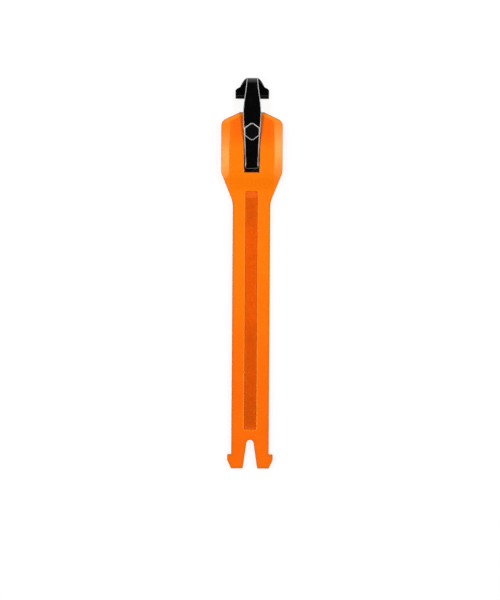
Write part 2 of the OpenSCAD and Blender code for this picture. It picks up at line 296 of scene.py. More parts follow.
def box_outline(low, high, r, step):
    """Closed outline of a rounded rectangle."""
    (x0, y0), (x1, y1) = low, high
    return divided(rounded([(x0, y0, r), (x1, y0, r), (x1, y1, r), (x0, y1, r)]), step)


def inward(outline):
    """For each point of an outline that runs anticlockwise, the move that draws both its sides in by 1."""
    side = np.roll(outline, -1, axis=0) - outline
    side /= np.linalg.norm(side, axis=1)[:, None]
    after = np.stack((-side[:, 1], side[:, 0]), axis=1)
    before = np.roll(after, 1, axis=0)
    return (before + after) / (1 + np.sum(before * after, axis=1))[:, None]


def in_parts(function, points, size=2000):
    """Runs a function over many points, a part of them at a time."""
    return np.concatenate([function(points[i:i + size]) for i in range(0, len(points), size)])


def distance_to(outline, points):
    """Distance of each point from a closed outline."""
    a, run = outline, np.roll(outline, -1, axis=0) - outline

    def nearest(part):
        gap = part[:, None] - a
        t = np.clip(np.sum(gap * run, axis=2) / np.sum(run * run, axis=1), 0, 1)
        return np.sqrt(np.min(np.sum((gap - t[..., None] * run) ** 2, axis=2), axis=1))

    return in_parts(nearest, points)


def inside(outline, points):
    """Whether each point lies in a closed outline."""
    a, b = outline, np.roll(outline, -1, axis=0)
    rise = np.where(b[:, 1] == a[:, 1], 1e-12, b[:, 1] - a[:, 1])

    def crossings(part):
        x, y = part[:, :1], part[:, 1:]
        spans = (a[:, 1] > y) != (b[:, 1] > y)
        return np.sum(spans & (x < a[:, 0] + (y - a[:, 1]) / rise * (b[:, 0] - a[:, 0])), axis=1) % 2 == 1

    return in_parts(crossings, points)


def box_distance(x, y, low, high, r):
    """Signed distance from a rounded rectangle, less than 0 in it."""
    qx = np.abs(x - (low[0] + high[0]) / 2) - (high[0] - low[0]) / 2 + r
    qy = np.abs(y - (low[1] + high[1]) / 2) - (high[1] - low[1]) / 2 + r
    return np.hypot(np.maximum(qx, 0), np.maximum(qy, 0)) + np.minimum(np.maximum(qx, qy), 0) - r


def soft_min(a, b, width):
    """The lower of two heights, with the crease between them rounded."""
    h = np.clip(0.5 + 0.5 * (b - a) / width, 0, 1)
    return b + (a - b) * h - width * h * (1 - h)


def smooth_step(t):
    """Eases from 0 to 1."""
    t = np.clip(t, 0, 1)
    return t * t * (3 - 2 * t)


def eased(a, b, t):
    """Number that eases from a to b."""
    return a + (b - a) * float(smooth_step(t))


def round_drop(r, depth):
    """How far a rounded edge lies below its face, at a depth in from its side."""
    return r - np.sqrt(np.maximum(r * r - np.maximum(r - depth, 0) ** 2, 0))


def loop(count, first=0):
    """Pairs of neighbours in a closed ring of points."""
    return [(first + k, first + (k + 1) % count) for k in range(count)]


def band(lower, upper):
    """Faces between two rings of as many points."""
    return [(lower[i], lower[j], upper[j], upper[i]) for i, j in loop(len(lower))]


def circle(x, y, z, r, turns):
    """Points of a circle about a line along X."""
    angles = [2 * math.pi * k / turns for k in range(turns)]
    return [(x, y + r * math.cos(a), z + r * math.sin(a)) for a in angles]


def triangles(points, edges, near):
    """Triangles between flat points: the points, the faces, and the places that each point had."""
    flat, _, faces, origins, _, _ = delaunay_2d_cdt([Vector(p) for p in points], edges, [], 1, near)
    return flat, faces, origins


class Shell:
    """Closed shell on z = 0, whose top is a height field over an outline and whose edges are rounded.

    An outline side that opens() picks is left without its wall, for a window."""

    ROUND_STEPS = 5  # steps over a rounded edge
    WALL_RINGS = 3  # rings from the edge of the top down to the foot of the wall
    BORE_TURNS = 40
    GUARD = 0.08  # from a rounded edge to the ring that keeps the top flat beside it
    # The rim's mark is painted shade along the outer edge
    EDGE_SHADE_W = 0.8  # width of the rim's mark
    CLEAR = 0.55  # least distance of a grid's points from others, as a share of its step

    def __init__(self, outline, relief, edge_r, foot_r, lines=(), grids=(), opens=None):
        self.outline = outline
        self.count = len(outline)
        self.windows = []
        self.faces = []
        self.make_top(relief, edge_r, lines, grids)
        self.make_walls(edge_r, foot_r, opens)

    def make_top(self, relief, edge_r, lines, grids):
        draw = inward(self.outline)
        steps = self.ROUND_STEPS
        insets = [edge_r * (1 - math.cos(math.pi / 2 * k / steps)) for k in range(steps + 1)]
        points, edges = [], []
        rings = [(self.outline + draw * inset, True) for inset in insets + [edge_r + self.GUARD]]
        for line, closed in rings + list(lines):
            path = loop(len(line), len(points))
            points += [tuple(p) for p in line]
            edges += path if closed else path[:-1]
        points += self.grid_points(points, rings[-1][0], grids)
        flat, faces, origins = triangles(points, edges, 10 * NEAR)
        xy = np.array([tuple(p) for p in flat])
        depth = distance_to(self.outline, xy)
        z = relief(xy[:, 0], xy[:, 1], depth) - round_drop(edge_r, depth)
        self.points = np.column_stack((xy, z)).tolist()
        self.rim = (1 - smooth_step(depth / self.EDGE_SHADE_W)).tolist()
        self.faces += [tuple(f) for f in faces]
        self.top = [None] * self.count
        for place, ids in enumerate(origins):
            for k in ids:
                if k < self.count:
                    self.top[k] = place

    @staticmethod
    def grid_points(taken, border, grids):
        """Points of the grids (low, high, step) in the border that are clear of the points already taken."""
        tree = KDTree(len(taken))
        for i, p in enumerate(taken):
            tree.insert((p[0], p[1], 0), i)
        tree.balance()
        kept = []
        for (x0, y0), (x1, y1), (dx, dy) in grids:
            x, y = np.meshgrid(np.arange(x0, x1, dx), np.arange(y0, y1, dy))
            spots = np.column_stack((x.ravel(), y.ravel()))
            spots = spots[inside(border, spots)]
            clear = Shell.CLEAR * min(dx, dy)
            kept += [tuple(p) for p in spots if tree.find((p[0], p[1], 0))[2] > clear]
        return kept

    def ring(self, xy, z, rim):
        first = len(self.points)
        self.points += np.column_stack((xy, z)).tolist()
        self.rim += [rim] * self.count
        return list(range(first, first + self.count))

    def make_walls(self, edge_r, foot_r, opens):
        draw = inward(self.outline)
        top_z = np.array([self.points[k][2] for k in self.top])
        steps = max(2, self.ROUND_STEPS - 2)
        rings = [self.top, self.ring(self.outline, top_z - edge_r, 0.0)]
        for k in range(steps + 1):
            a = math.pi / 2 * k / steps
            level = np.full(self.count, foot_r * (1 - math.sin(a)))
            rings.append(self.ring(self.outline + draw * foot_r * (1 - math.cos(a)), level, 0.0))
        for level, (upper, lower) in enumerate(zip(rings, rings[1:])):
            for i, j in loop(self.count):
                if opens and level < self.WALL_RINGS - 1 and opens(self.outline[i], self.outline[j]):
                    if level == 0:
                        wall = rings[:self.WALL_RINGS]
                        self.windows.append([r[i] for r in wall] + [r[j] for r in reversed(wall)])
                    continue
                self.faces.append((upper[i], lower[i], lower[j], upper[j]))
        back = [self.points[k][:2] for k in rings[-1]]
        _, faces, origins = triangles(back, loop(self.count), NEAR)
        self.faces += [tuple(rings[-1][origins[k][0]] for k in reversed(f)) for f in faces]

    def bore(self, window, y, z, r):
        """Fills a window in a side wall with a flat that has a blind, chamfered bore in it."""
        turns = self.BORE_TURNS
        x = self.points[window[0]][0]
        into = -math.copysign(1, x)
        rings = []
        for ring_r, depth in ((r + BORE_EDGE, 0), (r, BORE_EDGE), (r, BORE_DEPTH)):
            first = len(self.points)
            self.points += circle(x + into * depth, y, z, ring_r, turns)
            self.rim += [0.0] * turns
            rings.append(list(range(first, first + turns)))
        ids = window + rings[0]
        n = len(window)
        _, faces, origins = triangles([self.points[k][1:] for k in ids], loop(n) + loop(turns, n), NEAR)
        for f in faces:
            corners = [origins[k][0] for k in f]
            if min(corners) < n:
                self.faces.append(tuple(ids[k] for k in corners))
        for outer, inner in zip(rings, rings[1:]):
            self.faces += band(outer, inner)
        self.faces.append(tuple(rings[-1]))


def new_object(name, data):
    """Object in the scene, at the origin."""
    thing = bpy.data.objects.new(name, data)
    bpy.context.scene.collection.objects.link(thing)
    return thing


def new_piece(name, points, faces, materials, marks=None):
    """Object made of points in millimetres. marks gives each face its place in the list of materials."""
    mesh = bpy.data.meshes.new(name)
    mesh.from_pydata([tuple(c * MM for c in p) for p in points], [], faces)
    if marks is not None:
        mesh.polygons.foreach_set("material_index", marks)
    for material in materials:
        mesh.materials.append(material)
    tidy_mesh(mesh)
    return new_object(name, mesh)


@contextmanager
def editing(mesh):
    """Opens a mesh for changes, and puts them into it."""
    bm = bmesh.new()
    bm.from_mesh(mesh)
    yield bm
    bm.to_mesh(mesh)
    bm.free()


def tidy_mesh(mesh, merge=1e-7):
    """Merges doubled points and turns every face outwards."""
    with editing(mesh) as bm:
        bmesh.ops.remove_doubles(bm, verts=bm.verts, dist=merge)
        bmesh.ops.recalc_face_normals(bm, faces=bm.faces)


def apply_modifiers(piece):
    """Turns a piece and its modifiers into a plain mesh."""
    graph = bpy.context.evaluated_depsgraph_get()
    mesh = bpy.data.meshes.new_from_object(
        piece.evaluated_get(graph), preserve_all_data_layers=True, depsgraph=graph)
    piece.modifiers.clear()
    piece.data = mesh
    mesh.name = piece.name


def combine(piece, operation, tool):
    """Joins a closed tool to a piece, or cuts it out."""
    boolean = piece.modifiers.new("Combine", "BOOLEAN")
    boolean.operation = operation
    boolean.solver = "EXACT"
    boolean.object = tool
    apply_modifiers(piece)
    bpy.data.objects.remove(tool)
    if not piece.data.polygons:
        raise RuntimeError(f"{piece.name} is empty after {operation.lower()}")


def settle(piece, body, node, sharp=35.0):
    """Shades a piece, smooth up to edges of sharp degrees, and puts it in its CAD node's place."""
    piece.data.shade_smooth()
    piece.data.set_sharp_from_angle(angle=math.radians(sharp))
    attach(piece, body)
    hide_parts(node)


def turned(name, profile, y, z, materials, turns=72):
    """Closed bar turned about a line along X, with flat ends. The profile is a list of (x, radius)."""
    points = [p for x, r in profile for p in circle(x, y, z, r, turns)]
    rings = [range(first, first + turns) for first in range(0, len(points), turns)]
    faces = [face for pair in zip(rings, rings[1:]) for face in band(*pair)]
    return new_piece(name, points, faces + [tuple(rings[0]), tuple(rings[-1])], materials)


def bar_profile(width, r, edge, steps=8):
    """Profile of a round bar whose ends are rounded off by an edge radius."""
    turns = [math.pi / 2 * k / steps for k in range(steps + 1)]
    arc = [(width / 2 - edge * (1 - math.cos(a)), r - edge * (1 - math.sin(a))) for a in turns]
    return [(-x, q) for x, q in arc] + arc[::-1]


class Nodes:
    """A node tree, built node by node."""

    def __init__(self, tree):
        self.tree = tree

    def put(self, socket, value):
        if isinstance(value, bpy.types.NodeSocket):
            self.tree.links.new(value, socket)
        else:
            socket.default_value = value

    def add(self, kind, inputs=None, **settings):
        """Adds a node. Its inputs go by name or number, each a value or a socket to link."""
        node = self.tree.nodes.new(kind)
        for name, value in settings.items():
            setattr(node, name, value)
        for name, value in (inputs or {}).items():
            self.put(node.inputs[name], value)
        return node

    def ramp(self, value, low, high, to_low=0.0, to_high=1.0):
        """Eases from to_low to to_high while the value goes from low to high."""
        inputs = {"Value": value, "From Min": low, "From Max": high, "To Min": to_low, "To Max": to_high}
        return self.add("ShaderNodeMapRange", inputs, interpolation_type="SMOOTHSTEP").outputs["Result"]

    def math(self, operation, a, b=0.0):
        return self.add("ShaderNodeMath", {0: a, 1: b}, operation=operation).outputs[0]


class Finish(Nodes):
    """One procedural material."""

    def __init__(self, name):
        self.material = bpy.data.materials.new(name)
        self.material.use_nodes = True
        super().__init__(self.material.node_tree)
        self.shader = self.tree.nodes["Principled BSDF"]
        self.place = self.add("ShaderNodeTexCoord").outputs["Object"]

    def set(self, **inputs):
        """Sets the shader's own sockets, named with _ for a space."""
        for name, value in inputs.items():
            self.put(self.shader.inputs[name.replace("_", " ")], value)

    def axes(self):
        return self.add("ShaderNodeSeparateXYZ", {"Vector": self.place}).outputs

    def noise(self, scale, detail=2.0, stretch=None, **inputs):
        """Noise with scale features in each metre, stretched along the axes."""
        where = self.place
        if stretch:
            where = self.add("ShaderNodeMapping", {"Vector": where, "Scale": stretch}).outputs["Vector"]
        inputs = {"Vector": where, "Scale": scale, "Detail": detail, **inputs}
        return self.add("ShaderNodeTexNoise", inputs).outputs["Fac"]

    def clamp(self, value):
        return self.add("ShaderNodeClamp", {"Value": value}).outputs["Result"]

    def mix(self, factor, a, b):
        """Mix of two colours, each a socket or three numbers."""
        node = self.add("ShaderNodeMix", {0: factor}, data_type="RGBA")
        for place, colour in ((6, a), (7, b)):
            given = isinstance(colour, bpy.types.NodeSocket)
            self.put(node.inputs[place], colour if given else (*colour, 1.0))
        return node.outputs[2]

    def attribute(self, name):
        return self.add("ShaderNodeAttribute", attribute_name=name).outputs["Fac"]

    def bump(self, height, strength, distance):
        inputs = {"Height": height, "Strength": strength, "Distance": distance}
        self.set(Normal=self.add("ShaderNodeBump", inputs).outputs["Normal"])


def strap_plastic(colours):
    """Satin moulded plastic: a fine grain, a slow drift of tone, painted shade along the outer edge and
    towards the tail, a painted shadow of the arm, and painted light on the brow and on the channel's rim and
    wall.
    """
    f = Finish("strap_plastic")
    x, y, _ = f.axes()
    side = f.math("ABSOLUTE", x)
    bevel, wall = f.attribute("bevel"), f.attribute("channel_wall")
    # Redder towards the tail as painted shade, and next to the arm as the arm's painted shadow on the paddle,
    # both less so on the channel's rim, which takes a painted highlight
    tail = f.ramp(y, -0.145, -0.06, 0.85, 0.0)
    arm_shadow = f.math("MULTIPLY", f.ramp(side, 0.0105, 0.0185, 1.0, 0.0), f.ramp(y, 0.006, 0.025))
    arm_shadow = f.math("MULTIPLY", arm_shadow, f.math("SUBTRACT", 1.0, bevel))
    drift = f.ramp(f.noise(45.0, 3.0), 0.35, 0.7, -0.12, 0.18)
    warm = f.clamp(f.math("ADD", f.math("MAXIMUM", tail, arm_shadow), drift))
    # Painted highlight: the channel's rim loses the redder shade and reads as a lighter line
    rim_highlight = f.math("MULTIPLY", f.attribute("channel_rim"), 0.85)
    warm = f.math("MULTIPLY", warm, f.math("SUBTRACT", 1.0, rim_highlight))
    body = f.mix(warm, colours.strap, colours.strap_warm)
    # Painted light: a painted highlight on the brow, and the channel's wall lightened against the shade it
    # lies in
    brow = f.math("MULTIPLY", bevel, f.ramp(y, 0.0262, 0.0285, 0.0, 0.6))
    body = f.mix(f.math("MAXIMUM", brow, wall), body, colours.strap_painted_light)
    # Painted shade: a darker line along the outer edges, where they turn away from the light
    rim = f.math("MULTIPLY", f.attribute("rim"), 0.65)
    f.set(Base_Color=f.mix(rim, body, colours.strap_edge_shade), Specular_Tint=(*colours.sheen, 1.0))
    # The flanks are dull, apart from a slanted band across them
    polished = f.math("SUBTRACT", f.math("SUBTRACT", y, 0.0069), f.math("MULTIPLY", x, 0.187))
    dull = f.math("MINIMUM", f.math("MULTIPLY", f.math("MULTIPLY", polished, polished), 1000.0), 0.45)
    dull = f.math("MULTIPLY", dull, f.ramp(side, 0.0143, 0.0149))
    dull = f.math("MAXIMUM", dull, f.math("MULTIPLY", wall, 0.6))
    f.set(Roughness=f.math("ADD", f.ramp(f.noise(260.0, 4.0), 0.3, 0.7, 0.24, 0.29), dull))
    f.bump(f.noise(4200.0, 2.0), 0.1, 0.00003)
    return f.material


def rack_plastic(colours):
    """Darker plastic of the rack, with painted shade in mottled patches and darker stretches, and painted
    light at its upper end and along its edges.
    """
    f = Finish("rack_plastic")
    x, y, _ = f.axes()
    dark = f.ramp(f.noise(420.0, 4.0, Roughness=0.65), 0.36, 0.66, 0.0, 0.45)
    # Stretches of painted shade: their lower and upper ends, and the shade added at each
    for stretch in ((-0.043, -0.036, 0.0, 0.45), (-0.118, -0.096, 0.55, 0.0),
                    (-0.158, -0.15, 0.25, 0.0), (-0.1728, -0.1718, 0.6, 0.0)):
        dark = f.math("ADD", dark, f.ramp(y, *stretch))
    body = f.mix(f.clamp(dark), colours.rack, colours.rack_painted_shade)
    # Painted light: lighter at the rack's upper end and along its edges
    lead = f.ramp(y, -0.0275, -0.0185, 0.0, 0.4)
    edge = f.ramp(f.math("ABSOLUTE", x), 0.0018, 0.0037, 0.0, 0.22)
    f.set(Base_Color=f.mix(f.math("MAXIMUM", lead, edge), body, colours.strap_warm))
    f.set(Specular_Tint=(*colours.sheen, 1.0), Specular_IOR_Level=0.3)
    f.set(Roughness=f.ramp(f.noise(700.0, 3.0), 0.3, 0.7, 0.34, 0.48))
    f.bump(f.noise(3000.0, 3.0), 0.2, 0.00006)
    return f.material


def scaled(colour, share):
    return tuple(c * share for c in colour)


def two_tone(name, low, high, cloud, tone, gloss, gloss_cloud=None, **constants):
    """Finish that drifts between two shades and is unevenly glossy.

    cloud and gloss_cloud are the scale, detail and stretch of noise. tone and gloss are how it is ramped."""
    f = Finish(name)
    drift = f.noise(*cloud)
    f.set(Base_Color=f.mix(f.ramp(drift, *tone), low, high))
    f.set(Roughness=f.ramp(f.noise(*gloss_cloud) if gloss_cloud else drift, *gloss), **constants)
    return f


def arm_coat(colours):
    """Gloss black coat over metal, with a faint unevenness in the gloss."""
    f = two_tone("arm_coat", colours.arm, scaled(colours.arm, 2.2), (180.0, 3.0), (0.45, 0.8),
                 (0.3, 0.75, 0.1, 0.18), (900.0, 3.0))
    f.bump(f.noise(2600.0, 2.0), 0.05, 0.00002)
    return f.material


def rubbed_coat(colours):
    """Dull black coat of the places that rub: inside the hook, on the bar that it holds, and at the hinge."""
    f = two_tone("rubbed_coat", colours.arm, scaled(colours.arm, 2.2), (700.0, 4.0), (0.4, 0.75),
                 (0.3, 0.7, 0.3, 0.42), Specular_IOR_Level=0.04)
    f.bump(f.noise(2600.0, 2.0), 0.06, 0.00002)
    return f.material


def arm_edge(colours):
    """Bare metal of the arm's bevels, with fine lines along the cut, also set on the knuckle's lower end and
    the pad's rim as painted highlights.
    """
    return two_tone("arm_edge", scaled(colours.arm_edge, 0.75), colours.arm_edge,
                    (900.0, 3.0, (6.0, 0.3, 6.0)), (0.35, 0.7), (0.3, 0.7, 0.32, 0.46), Metallic=0.6).material


def cradle_coat(colours):
    """Satin black coat of the folded cradle."""
    f = two_tone("cradle_coat", colours.cradle, scaled(colours.cradle, 2.5), (400.0, 4.0), (0.4, 0.75),
                 (0.3, 0.7, 0.36, 0.5), (1200.0, 3.0), Specular_IOR_Level=0.2)
    f.bump(f.noise(3500.0, 2.0), 0.1, 0.00003)
    return f.material


def pin_steel(colours):
    """Drawn steel, with fine lines along the pin."""
    lines = (1500.0, 3.0, (0.15, 4.0, 4.0))
    f = two_tone("pin_steel", scaled(colours.pin, 0.7), colours.pin, lines, (0.35, 0.7),
                 (0.3, 0.7, 0.22, 0.38), Metallic=1.0)
    f.bump(f.noise(*lines), 0.08, 0.00002)
    return f.material


def pad_coat(colours):
    """Black coat of the grip pad, a little rougher than the arm's."""
    f = two_tone("pad_coat", colours.pad, scaled(colours.pad, 1.8), (1600.0, 3.0), (0.4, 0.7),
                 (0.3, 0.7, 0.16, 0.26))
    f.bump(f.noise(3800.0, 2.0), 0.06, 0.00002)
    return f.material


def arch_of(arm):
    """Middle line of the arm: the arch's radius and crown, and the half turn of the hook."""
    hook_r = (arm.crown - HOOK_LIFT - arm.thickness) / 2
    hook_y = arm.reach - hook_r - arm.thickness / 2
    crown = arm.crown - arm.thickness / 2
    rise = crown - PIN_Z
    radius = (hook_y ** 2 + rise ** 2) / (2 * rise)
    return SimpleNamespace(hook_r=hook_r, hook_y=hook_y, hook_z=crown - hook_r, tail_z=crown - 2 * hook_r,
                           crown=crown, radius=radius, angle=math.asin(hook_y / radius))


def arch_height(arch, y):
    """Height of the arch's middle line at a distance y from the hinge."""
    return arch.crown - arch.radius + np.sqrt(np.maximum(arch.radius ** 2 - (arch.hook_y - y) ** 2, 0))


def strap_outline(strap):
    """The strap's outline, from the peak of the paddle down to the root of the fork and back."""
    paddle, blade, tail = strap.paddle_width / 2, strap.blade_width / 2, strap.tail_reach
    barb_y = BARB_RISE - tail
    outline = rounded(both_sides([
        (PEAK_W / 2, strap.paddle_reach, CORNER_R),
        (paddle, strap.paddle_reach - SHOULDER_DROP, SHOULDER_R),
        (paddle, WINDOW_Y, 0),
        (paddle, -WINDOW_Y, 0),
        (paddle, NECK_TOP, NECK_TOP_R),
        (blade, NECK_BOTTOM, NECK_BOTTOM_R),
        (blade, barb_y, CORNER_R),
        (blade + BARB_OUT, barb_y, BARB_TOP_R),
        (blade + BARB_OUT, barb_y - BARB_LEN, BARB_R),
        (blade, -tail, CORNER_R),
        (FORK_MOUTH_W / 2, -tail, CORNER_R),
        (FORK_ROOT_W / 2, FORK_RISE - tail, FORK_R),
    ]))
    points = divided(outline[::-1], EDGE_STEP)
    in_window = (np.abs(np.abs(points[:, 0]) - paddle) < NEAR) & (np.abs(points[:, 1]) < WINDOW_Y - NEAR)
    return points[~in_window]


def channel_box(strap):
    return (-CHANNEL_W / 2, CHANNEL_RISE - strap.tail_reach), (CHANNEL_W / 2, CHANNEL_TOP)


def pocket_box():
    return (-POCKET_W / 2, POCKET_END - POCKET_LEAD), (POCKET_W / 2, POCKET_REACH)


def pocket_share(y):
    """Share of the pocket's full width that it has at a distance y from the hinge."""
    return 1 - (1 - POCKET_END_W / POCKET_W) * np.maximum(TAPER_Y - y, 0) / (TAPER_Y - POCKET_END)


def grown(box, margin):
    (x0, y0), (x1, y1) = box
    return (x0 - margin, y0 - margin), (x1 + margin, y1 + margin)


def brow_depths(strap, x, y):
    """How far points lie in from the paddle's slanted brow and from its top edge."""
    peak = np.array((PEAK_W / 2, strap.paddle_reach))
    brow = np.array((strap.paddle_width / 2, strap.paddle_reach - SHOULDER_DROP)) - peak
    brow /= np.linalg.norm(brow)
    return (np.abs(x) - peak[0]) * brow[1] - (y - peak[1]) * brow[0], strap.paddle_reach - y


def bevelled(strap, x, y):
    """Whether points lie on the paddle's bevelled flanks, brow or top edge."""
    return (np.abs(x) > strap.paddle_width / 2 - FLANK_W) | (np.minimum(*brow_depths(strap, x, y)) < BROW_W)


def strap_relief(strap, arm):
    """Height of the strap's front over its outline."""
    paddle_t, blade_t = strap.paddle_thickness, strap.blade_thickness
    half = strap.paddle_width / 2
    floor = blade_t - CHANNEL_DEPTH
    arch = arch_of(arm)

    def pocket_depth(y):
        lead = paddle_t - POCKET_LEAD + POCKET_END - y
        seat = arch_height(arch, y) - arm.thickness / 2 - SEAT_GAP
        down = np.clip((y - POCKET_END) / POCKET_WALL, 0, 1)
        up = np.clip((y - CRADLE_TOP) / POCKET_WALL + 1, 0, 1)
        lower = lead + (POCKET_FLOOR - lead) * down
        return np.where(y < CRADLE_TOP - 1, lower, POCKET_FLOOR + (seat - POCKET_FLOOR) * up)

    def relief(x, y, depth):
        ramp = smooth_step((y - RAMP_TOP) / (RAMP_BOTTOM - RAMP_TOP))
        top = paddle_t + (blade_t - paddle_t) * ramp
        top = soft_min(top, paddle_t - (np.abs(x) - half + FLANK_W) * FLANK_DROP / FLANK_W, FLANK_CREASE)
        for reach in brow_depths(strap, x, y):
            top = soft_min(top, paddle_t - BROW_DROP + reach * BROW_DROP / BROW_W, CREASE)
        away = box_distance(x, y, *channel_box(strap), CHANNEL_R)
        past = np.maximum(away - CHANNEL_DRAFT - CHANNEL_RIM, 0) * RIM_STEP
        rim = blade_t - CHANNEL_RIM_DROP + (away - CHANNEL_DRAFT) * CHANNEL_RIM_DROP / CHANNEL_RIM + past
        top = soft_min(top, rim, RIM_CREASE)
        wall = (CHANNEL_DEPTH - CHANNEL_RIM_DROP) / CHANNEL_DRAFT
        top = soft_min(top, floor + np.maximum(away, 0) * wall, WALL_CREASE)
        off = box_distance(x / np.maximum(pocket_share(y), POCKET_LEAST), y, *pocket_box(), POCKET_R)
        low = np.minimum(top, pocket_depth(y))
        rim = np.minimum(POCKET_RIM, top - low)
        top = top - np.where(off < POCKET_RIM, round_drop(rim, np.maximum(off, 0)), 0)
        fall = np.clip(-off / POCKET_WALL, 0, 1)
        return np.where(off < 0, top + (low - top) * fall, top)

    return relief


def strap_lines(strap):
    """Lines of points, each with whether it is closed, where the height changes fast.

    They run along the channel's walls, the pocket's rim and the creases of the flanks."""
    lines = []
    for margin in CHANNEL_LINES:
        low, high = grown(channel_box(strap), margin)
        lines.append((box_outline(low, high, CHANNEL_R + margin, CHANNEL_STEP), True))
    for margin in POCKET_LINES:
        low, high = grown(pocket_box(), margin)
        line = box_outline(low, high, max(POCKET_R + margin, 0.1), POCKET_STEP)
        line[:, 0] *= pocket_share(line[:, 1])
        lines.append((line, True))
    along = np.arange(RAMP_TOP, strap.paddle_reach - SHOULDER_DROP - BROW_W, POCKET_STEP)
    for margin in CREASE_LINES:
        for side in (-1, 1):
            crease = side * (strap.paddle_width / 2 - FLANK_W + margin)
            lines.append((np.column_stack((np.full_like(along, crease), along)), False))
    reach = POCKET_W / 2 - POCKET_WALL
    across = np.linspace(-reach, reach, STEP_POINTS)
    for y in (POCKET_END, POCKET_END + POCKET_WALL, CRADLE_TOP - POCKET_WALL, CRADLE_TOP):
        lines.append((np.column_stack((across * pocket_share(y), np.full_like(across, y))), False))
    return lines


class AddStrap(Operator):
    """Adds the moulded strap, with its paddle, pocket, channel and forked tail"""
    bl_idname = "boot_strap.add_strap"
    bl_label = "Strap"

    def execute(self, context):
        settings = context.scene.boot_strap
        strap, arm = millimetres(settings.strap), millimetres(settings.arm)
        half = strap.paddle_width / 2

        def opens(a, b):
            return all(abs(abs(p[0]) - half) < NEAR and abs(abs(p[1]) - WINDOW_Y) < NEAR for p in (a, b))

        shell = Shell(
            strap_outline(strap), strap_relief(strap, arm), strap.edge_radius, strap.foot_radius,
            lines=strap_lines(strap), opens=opens,
            grids=(((-half, FINE_END), (half, strap.paddle_reach), FINE_GRID),
                   ((-half, -strap.tail_reach), (half, COARSE_END), COARSE_GRID)))
        if len(shell.windows) != 2:
            raise RuntimeError("the paddle's sides have no place for the pin")
        for window in shell.windows:
            shell.bore(window, 0.0, PIN_Z, arm.pin_radius)
        piece = new_piece("strap_moulding", shell.points, shell.faces, [strap_plastic(settings.finishes)])
        if len(piece.data.vertices) != len(shell.rim):
            raise RuntimeError("the strap has doubled points")
        x, y = np.array(shell.points).T[:2]
        away = box_distance(x, y, *channel_box(strap), CHANNEL_R) - CHANNEL_DRAFT
        # The marks carry painted shade along the outer edge, a painted highlight on the channel's rim, and
        # painted light and more roughness on the channel's wall
        marks = {"rim": shell.rim, "bevel": bevelled(strap, x, y)}
        for name, (low, high) in (("channel_rim", RIM_HIGHLIGHT_BAND), ("channel_wall", WALL_BAND)):
            marks[name] = (away > low) & (away < high)
        for name, values in marks.items():
            layer = piece.data.attributes.new(name, "FLOAT", "POINT")
            layer.data.foreach_set("value", np.asarray(values, float))
        settle(piece, "strap", "strap_body")
        return {"FINISHED"}


def rack_tooth_tree():
    """Node tree that sets one tooth in a row and welds the row."""
    tree = bpy.data.node_groups.new("rack_teeth", "GeometryNodeTree")
    for name, kind in (("Tooth", "Geometry"), ("Teeth", "Int"), ("Pitch", "Float"), ("Material", "Material")):
        tree.interface.new_socket(name, in_out="INPUT", socket_type=f"NodeSocket{kind}")
    tree.interface.new_socket("Rack", in_out="OUTPUT", socket_type="NodeSocketGeometry")
    nodes = Nodes(tree)
    source = nodes.add("NodeGroupInput").outputs
    back = nodes.math("MULTIPLY", source["Pitch"], -1.0)
    step = nodes.add("ShaderNodeCombineXYZ", {"Y": back}).outputs[0]
    row = nodes.add("GeometryNodeMeshLine", {"Count": source["Teeth"], "Offset": step}).outputs["Mesh"]
    rack = nodes.add("GeometryNodeInstanceOnPoints", {"Points": row, "Instance": source["Tooth"]}).outputs[0]
    for kind, inputs in (("RealizeInstances", {}), ("MergeByDistance", {"Distance": WELD}),
                         ("SetMaterial", {"Material": source["Material"]})):
        rack = nodes.add(f"GeometryNode{kind}", {"Geometry": rack, **inputs}).outputs[0]
    nodes.add("NodeGroupOutput", {"Rack": rack})
    return tree


def set_input(modifier, name, value):
    """Sets a node tree's input by the identifier of the socket with that name."""
    for item in modifier.node_group.interface.items_tree:
        if item.item_type == "SOCKET" and item.in_out == "INPUT" and item.name == name:
            modifier[item.identifier] = value
            return
    raise RuntimeError(f"the node tree has no input {name}")


